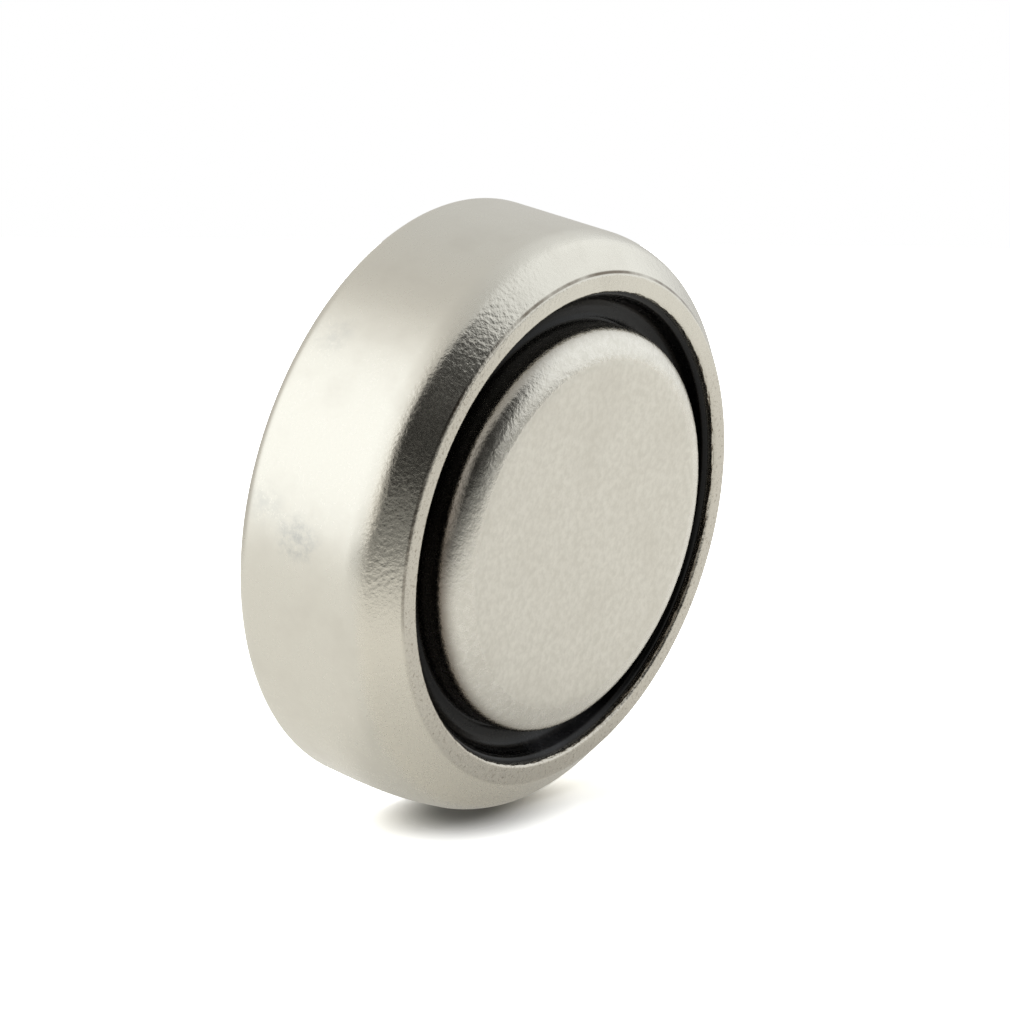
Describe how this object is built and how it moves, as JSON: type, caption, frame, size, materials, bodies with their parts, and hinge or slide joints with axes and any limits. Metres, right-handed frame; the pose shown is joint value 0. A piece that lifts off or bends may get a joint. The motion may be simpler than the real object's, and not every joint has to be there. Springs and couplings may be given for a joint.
{
  "type": "alkaline button cell",
  "caption": "Round alkaline button cell: a crimped steel can, a recessed black gasket ring and a raised negative cap, with pellet, separator and gel sealed inside.",
  "frame": {"origin": "centre of the can's flat base, which is the positive contact", "axes": "+Z along the cell's axis, from the positive base towards the negative cap; X and Y are any two radial directions"},
  "size_m": [0.0116, 0.0116, 0.0042],
  "materials": {
    "can_nickel": "satin nickel plate",
    "gasket_nylon": "semi-gloss black",
    "cap_nickel": "fine matt nickel plate",
    "ring_steel": "satin nickel plate",
    "cathode_mix": "matt pressed powder",
    "barrier_film": "satin film",
    "absorbent_pad": "non-woven fibre",
    "zinc_gel": "moist grey paste"
  },
  "bodies": {
    "root": {"positive_can": "can_nickel", "gasket": "gasket_nylon", "negative_cap": "cap_nickel", "cathode_ring": "ring_steel", "cathode_pellet": "cathode_mix", "separator_barrier": "barrier_film", "separator_absorbent": "absorbent_pad", "anode_gel": "zinc_gel"}
  },
  "joints": []
}
